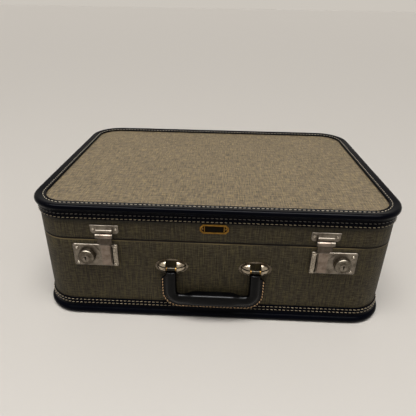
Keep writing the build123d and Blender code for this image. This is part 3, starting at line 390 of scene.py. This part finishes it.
def finish(bm, name, body, material, replaces=(), rounding=0):
    """Turn a shape into a piece of the scene that rides on a body."""
    bmesh.ops.scale(bm, vec=(mm, mm, mm), verts=bm.verts[:])
    mesh = bpy.data.meshes.new(name)
    bm.to_mesh(mesh)
    bm.free()
    mesh.materials.append(material)
    mesh.shade_smooth()
    mesh.set_sharp_from_angle(angle=radians(40))
    piece = bpy.data.objects.new(name, mesh)
    bpy.context.scene.collection.objects.link(piece)
    if rounding:
        smooth = piece.modifiers.new("rounding", "SUBSURF")
        smooth.levels = rounding
        smooth.render_levels = rounding
    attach(piece, body)
    if replaces:
        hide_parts(*replaces)
    return piece


def distance_round(point, right):
    """How far round the case a point is from the middle of the front, to the right or the left."""
    x, y = abs(point.x), point.y
    if x <= straight_x:
        along = x if y < 0 else 2 * straight_x + 2 * straight_y + pi * corner - x
    elif y < -straight_y:
        along = straight_x + corner * atan2(x - straight_x, -straight_y - y)
    elif y <= straight_y:
        along = straight_x + corner * pi / 2 + y + straight_y
    else:
        along = straight_x + corner * pi / 2 + 2 * straight_y + corner * atan2(y - straight_y, x - straight_x)
    return along if right else -along


def map_round(bm):
    """Lay the weave round a wall: along it and up it, in metres."""
    layer = bm.loops.layers.uv.new("weave")
    for face in bm.faces:
        right = face.calc_center_median().x > 0
        for loop in face.loops:
            point = loop.vert.co
            loop[layer].uv = (distance_round(point, right) * mm, point.z * mm)


def unsettle(bm, amount, size):
    """Move points a little along their normals, as cloth and hide never lie quite flat."""
    bm.normal_update()
    shifts = [(vert, vert.normal * noise.noise(vert.co / size) * amount) for vert in bm.verts]
    for vert, shift in shifts:
        vert.co += shift


# Canvas and binding round the case


def round_the_case(section, straight=14):
    """Carry a section round the case. Its points are the distance out and the height."""
    bm = bmesh.new()
    edges = outline(bm, [(0, -half_depth - out, height) for out, height in section])
    edges = run(bm, edges, (straight_x, 0, 0), straight)
    edges = turn(bm, edges, (straight_x, -straight_y, 0), (0, 0, 1), 10)
    run(bm, edges, (0, straight_y, 0), straight)
    mirror_over(bm, "XY")
    return bm


def wall_canvas(name, low, high, body, replaced):
    """The canvas of a wall, rolled over the board at the seam, which is its top or its bottom."""
    steps = [low + (high - low) * i / 6 for i in range(7)]
    face = [(0.0, height) for height in steps]
    if high < seam:
        face[-1:] = [(0.0, high - 0.7), (-0.25, high - 0.15), (-0.8, high)]
        section = [(-0.95, low)] + face
    else:
        face[:1] = [(-0.8, low), (-0.25, low + 0.15), (0.0, low + 0.7)]
        section = face + [(-0.95, high)]
    bm = round_the_case(section, 26)
    map_round(bm)
    finish(bm, name, body, shaded_wall_weave, replaced)


wall_canvas("base_cloth", canvas_low, seam - seam_gap / 2, "base", ["base_canvas"])
wall_canvas("lid_cloth", seam + seam_gap / 2, canvas_top, "lid", ["lid_canvas"])

tuck_under = 9.2
canvas_thick = 1.0


def panel_canvas(name, level, body, replaced):
    """A flat panel of canvas, laid under the binding at its edge."""
    bm = bmesh.new()
    bmesh.ops.create_grid(bm, x_segments=48, y_segments=34, size=1.0)
    bmesh.ops.scale(bm, vec=(half_width - tuck_under, half_depth - tuck_under, 1), verts=bm.verts[:])
    for vert in bm.verts:
        past = Vector((max(abs(vert.co.x) - straight_x, 0), max(abs(vert.co.y) - straight_y, 0)))
        if past.length > corner - tuck_under:
            past *= 1 - (corner - tuck_under) / past.length
            vert.co.x -= copysign(past.x, vert.co.x)
            vert.co.y -= copysign(past.y, vert.co.y)
    bmesh.ops.translate(bm, vec=(0, 0, level), verts=bm.verts[:])
    bmesh.ops.solidify(bm, geom=bm.faces[:], thickness=canvas_thick)
    bmesh.ops.recalc_face_normals(bm, faces=bm.faces[:])
    layer = bm.loops.layers.uv.new("weave")
    for face in bm.faces:
        for loop in face.loops:
            loop[layer].uv = loop.vert.co.xy * mm
    finish(bm, name, body, top_canvas, replaced)


panel_canvas("top_cloth", canvas_top, "lid", ["top_canvas"])
panel_canvas("bottom_cloth", canvas_low + canvas_thick, "base", ["bottom_canvas"])

# Binding sections start at the strip's stitched edge and go over the roll to the bead
lid_binding_section = [
    (0.1, -16.7), (1.1, -16.7), (1.65, -16.0), (1.75, -12.0), (1.6, -9.0), (1.7, -5.6), (2.2, -4.5),
    (3.7, -3.7), (4.8, -2.3), (5.1, -0.5), (4.6, 1.5), (3.2, 2.9), (1.2, 3.4), (-1.5, 2.95), (-4.2, 2.35),
    (-6.6, 2.05), (-7.4, 1.95), (-7.9, 2.5), (-8.9, 2.9), (-9.8, 2.5), (-10.2, 1.5), (-10.1, 0.1),
    (-5.0, 0.05), (0.05, 0.05), (0.05, -8.0)]
bm = round_the_case([(out, canvas_top + rise) for out, rise in lid_binding_section])
unsettle(bm, 0.22, 16.0)
finish(bm, "lid_leather_cloth", "lid", binding_cloth, ["lid_binding"], rounding=2)

base_binding_section = [
    (0.1, 23.7), (1.1, 23.7), (1.65, 23.0), (1.75, 19.0), (1.65, 14.0), (1.8, 11.4), (2.4, 10.0),
    (4.2, 8.9), (5.5, 7.3), (5.9, 5.1), (5.3, 2.6), (3.6, 0.8), (1.6, 0.0), (-1.5, 0.0), (-6.8, 0.0),
    (-7.4, 0.1), (-7.8, 0.5), (-8.8, 0.4), (-9.6, 0.8), (-10.2, 1.9), (-10.1, 3.3), (-5.0, 3.35),
    (0.05, 3.35), (0.05, 14.0)]
bm = round_the_case(base_binding_section)
finish(bm, "base_leather_cloth", "base", binding_cloth, ["base_binding"], rounding=2)


# Stitching: one small capsule of thread for each stitch that shows

stitch_pitch = 5.45
handle_pitch = 4.4


def place_round(distance, out):
    """The place and heading that far round from the middle of the front, at a distance out."""
    reach = corner + out
    angle = min(max((distance - straight_x) / reach, 0), pi / 2)
    x = min(distance, straight_x) + reach * sin(angle)
    y = -straight_y - reach * cos(angle) + max(distance - straight_x - reach * pi / 2, 0)
    return Vector((x, y, 0)), angle


def stitch(bm, place, heading, slant, size):
    """One stitch: a flattened capsule laid along its row."""
    bmesh.ops.create_uvsphere(bm, u_segments=8, v_segments=5, radius=1.0, matrix=Matrix.Translation(
        place) @ heading @ slant @ Matrix.Diagonal((*size, 1)) @ Matrix.Rotation(pi / 2, 4, "Y"))


def stitch_row(name, out, height, body, material, flat):
    """A row of stitches round the case, on a wall or on the flat band of the top."""
    bm = bmesh.new()
    quarter = straight_x + (corner + out) * pi / 2 + straight_y
    count = round(quarter / stitch_pitch)
    for number in range(count):
        place, angle = place_round((number + 0.5) * quarter / count, out)
        place.z = height
        wander = noise.noise(Vector((number * 1.7, height, out)))
        slant = Matrix.Rotation(radians(5 + 9 * wander), 4, "Z" if flat else "Y")
        size = (1.9 + 0.3 * wander, 0.5, 0.4)
        stitch(bm, place, Matrix.Rotation(angle, 4, "Z"), slant, size)
    mirror_over(bm, "XY")
    finish(bm, name, body, material)


stitch_row("lid_top_stitches", -6.3, canvas_top + 2.3, "lid", cream_thread, True)
stitch_row("lid_upper_stitches", 1.75, 152.5, "lid", roll_shadow_thread, False)
stitch_row("lid_lower_stitches", 1.85, 147.4, "lid", wall_shade_thread, False)
stitch_row("base_upper_stitches", 1.85, 21.0, "base", wall_shade_thread, False)
stitch_row("base_lower_stitches", 1.8, 16.2, "base", wall_shade_thread, False)

# Handle: a padded roll with a sewn flange outside it, swelled along the grip

leg_x = 53.5
bar_z = 34.4
bend = 11.5
handle_y = -half_depth - 7.4
leather_top = 77.6
flange_start = 70.0
roll_width = 14.4
roll_thick = 11.0
flange = 6.0
grip_width = 17.8
grip_thick = 16.0


def handle_section():
    """Points round the roll and its flange: distance outwards from the grip, and forwards."""
    a, b = roll_width / 2, roll_thick / 2
    roll = [(a * cos(radians(t)), b * sin(radians(t))) for t in range(48, 313, 22)]
    return roll + [(a - 1.0, -b + 3.0), (a + 0.8, -2.0), (a + flange - 0.9, -1.9), (a + flange, 0),
                   (a + flange - 0.9, 1.9), (a + 0.8, 2.0), (a - 1.0, b - 3.0)]


bm = bmesh.new()
edges = outline(bm, [(-leg_x - out, handle_y - forward, leather_top)
                     for out, forward in handle_section()])
top_loop = list(edges)
edges = run(bm, edges, (0, 0, bar_z + bend - leather_top), 9)
edges = turn(bm, edges, (-leg_x + bend, handle_y, bar_z + bend), (0, -1, 0), 7)
run(bm, edges, (leg_x - bend, 0, 0), 9)
bmesh.ops.contextual_create(bm, geom=top_loop)
mirror_over(bm, "X")
for vert in bm.verts:
    up = (vert.co.z - bar_z) / roll_width * 2
    forward = (handle_y - vert.co.y) / roll_thick * 2
    swell = min(max((38 - abs(vert.co.x)) / 15, 0), 1)
    swell = swell * swell * (3 - 2 * swell)
    if swell and up > -0.75:
        full_z = bar_z + (grip_width - roll_width) / 2 + copysign(abs(up) ** 0.66, up) * grip_width / 2
        full_y = handle_y - 1.0 - copysign(abs(forward) ** 0.66, forward) * grip_thick / 2
        vert.co.z += swell * (full_z - vert.co.z)
        vert.co.y += swell * (full_y - vert.co.y)
    outside = abs(vert.co.x) - leg_x - 6.4
    if outside > 0 and vert.co.z > flange_start - 3:
        tuck = min((vert.co.z - flange_start + 3) / 4, 1)
        vert.co.x -= copysign(outside * tuck, vert.co.x)
unsettle(bm, 0.15, 11.0)
handle = finish(bm, "handle_cover", "handle", handle_hide, ["handle_leather"], rounding=2)


def stitch_handle():
    """The row of stitches along the handle's flange, down one leg, along the bar and up."""
    bm = bmesh.new()
    reach = bend + roll_width / 2 + flange - 2.5
    leg = flange_start - 2 - bar_z - bend
    whole = leg + reach * pi / 2 + leg_x - bend
    count = round(whole / handle_pitch)
    for number in range(count):
        distance = (number + 0.5) * whole / count
        angle = min(max((distance - leg) / reach, 0), pi / 2)
        x = -leg_x + bend - reach * cos(angle) + max(distance - leg - reach * pi / 2, 0)
        z = bar_z + bend + leg - min(distance, leg) - reach * sin(angle)
        stitch(bm, Vector((x, handle_y - 1.9, z)), Matrix.Rotation(pi / 2 - angle, 4, "Y"),
               Matrix.Rotation(radians(14), 4, "Y"), (1.6, 0.75, 0.6))
    mirror_over(bm, "X")
    finish(bm, "handle_stitches", "handle", tan_thread)


stitch_handle()

# Small fastenings: domed heads on the rivets and nails, brass collars beside the handle's pins


def domes(name, places, wall, seat, radius, rise, body, material, replaced):
    """Round heads that stand off the front wall, -1, or the back wall, 1."""
    bm = bmesh.new()
    for x, z in places:
        bmesh.ops.create_uvsphere(bm, u_segments=20, v_segments=12, radius=1.0, matrix=Matrix.Translation(
            (x, wall * (half_depth + seat), z)) @ Matrix.Diagonal((radius, rise, radius, 1)))
    finish(bm, name, body, material, replaced)


for side, word in sides:
    domes(f"lock_rivet_heads_{word}", [
        (side * x, lock_z + up * lock_rivet_reach) for x in lock_rivets_x for up in (-1, 1)],
        -1, 3.6, 2.0, 1.5, "base", rivet_nickel, [f"lock_rivets_{word}"])
domes("hasp_rivet_heads", [
    (side * hasp_x + end * hasp_rivet_reach, hasp_rivet_z) for side, word in sides for end in (-1, 1)],
    -1, 1.0, 1.9, 1.1, "lid", rivet_nickel, ["hasp_rivets"])
domes("nameplate_nail_heads", [(-nail_x, nail_z), (nail_x, nail_z)], -1, 0.5, 1.2, 1.0, "lid", aged_brass,
      ["nameplate_nails"])
for body, up in (("base", -1), ("lid", 1)):
    domes(f"hinge_{body}_rivet_heads", [
        (side * hinge_x + end * hinge_rivet_reach, seam + up * hinge_rivet_reach)
        for side, word in sides for end in (-1, 1)],
        1, 1.2, 2.0, 1.1, body, rivet_nickel, [f"hinge_{body}_rivets"])

for side, word in sides:
    bm = bmesh.new()
    for end in (-1, 1):
        bmesh.ops.create_cone(bm, cap_ends=True, segments=24, radius1=2.5, radius2=2.5, depth=1.7,
                              matrix=Matrix.Translation((side * loop_x + end * 5.9, handle_y, handle_pin_z))
                              @ Matrix.Rotation(pi / 2, 4, "Y"))
    rims = [edge for edge in bm.edges if len({len(face.verts) for face in edge.link_faces}) > 1]
    bmesh.ops.bevel(bm, geom=rims, offset=0.3, affect="EDGES", segments=2, profile=0.5, material=-1)
    finish(bm, f"pin_collars_{word}", "base", aged_brass)

# Lock springs: the zigzags of the solids, each copied to a mesh of its own; the real ones shorten as the
# bolt's tail is drawn back on them, which nothing here does

for side, word in sides:
    bm = bmesh.new()
    bm.from_mesh(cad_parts[f"lock_spring_{word}"].data)
    bmesh.ops.remove_doubles(bm, verts=bm.verts[:], dist=0.001 * mm)
    bmesh.ops.scale(bm, vec=(1 / mm, 1 / mm, 1 / mm), verts=bm.verts[:])
    spring = finish(bm, f"zigzag_spring_{word}", "base", plain_steel, [f"lock_spring_{word}"])
    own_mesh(spring)

# Floor, light and background

bm = bmesh.new()
bmesh.ops.create_grid(bm, x_segments=1, y_segments=1, size=60.0)
floor_mesh = bpy.data.meshes.new("floor")
bm.to_mesh(floor_mesh)
bm.free()
pale, tree, shader = start("pale floor", Roughness=0.5, Base_Color=tint("#C5BFB7"))
floor_mesh.materials.append(pale)
floor = bpy.data.objects.new("floor", floor_mesh)
bpy.context.scene.collection.objects.link(floor)


def softbox(name, place, aim, width, height, watts, lights_surfaces=True):
    """An area lamp that points at a spot, and may be seen in gloss alone."""
    lamp_data = bpy.data.lights.new(name, "AREA")
    lamp_data.shape = "RECTANGLE"
    lamp_data.size = width
    lamp_data.size_y = height
    lamp_data.energy = watts
    lamp = bpy.data.objects.new(name, lamp_data)
    lamp.matrix_world = Matrix.Translation(place) @ (Vector(aim) - Vector(place)).to_track_quat(
        "-Z", "Y").to_matrix().to_4x4()
    lamp.visible_diffuse = lights_surfaces
    bpy.context.scene.collection.objects.link(lamp)


# Three broad lights side by side overhead, so that every rolled edge has its line of light
for lean in (-15, 0, 15):
    sky_data = bpy.data.lights.new("overhead light", "SUN")
    sky_data.angle = radians(18)
    sky_data.energy = 0.8
    sky = bpy.data.objects.new("overhead light", sky_data)
    sky.rotation_euler = (radians(9), radians(lean), 0)
    bpy.context.scene.collection.objects.link(sky)
softbox("ceiling strip", (-0.1, -0.75, 1.4), (0, -0.1, 0.1), 2.4, 0.16, 8.0)
# It draws the line of gloss along leather and nickel, and would bleach the canvas
softbox("window overhead", (-0.1, -0.2, 1.5), (-0.1, -0.2, 0), 2.4, 0.5, 45.0, lights_surfaces=False)

world = bpy.data.worlds.new("studio")
bpy.context.scene.world = world
world.use_nodes = True
tree = world.node_tree
tree.nodes.clear()
path = node(tree, "ShaderNodeLightPath")
seen = node(tree, "ShaderNodeMath", {0: path.outputs["Is Camera Ray"], 1: path.outputs["Is Glossy Ray"]},
            operation="MAXIMUM")
seen = node(tree, "ShaderNodeMath", {0: seen.outputs[0], 1: path.outputs["Is Transmission Ray"]},
            operation="MAXIMUM")
ambient = node(tree, "ShaderNodeBackground", {"Color": tint("#FFFFFF"), "Strength": 0.2})
backdrop = node(tree, "ShaderNodeBackground", {"Color": tint("#CBC5BC"), "Strength": 1.0})
mixed = node(tree, "ShaderNodeMixShader", {0: seen.outputs[0], 1: ambient.outputs[0], 2: backdrop.outputs[0]})
node(tree, "ShaderNodeOutputWorld", {"Surface": mixed.outputs[0]})
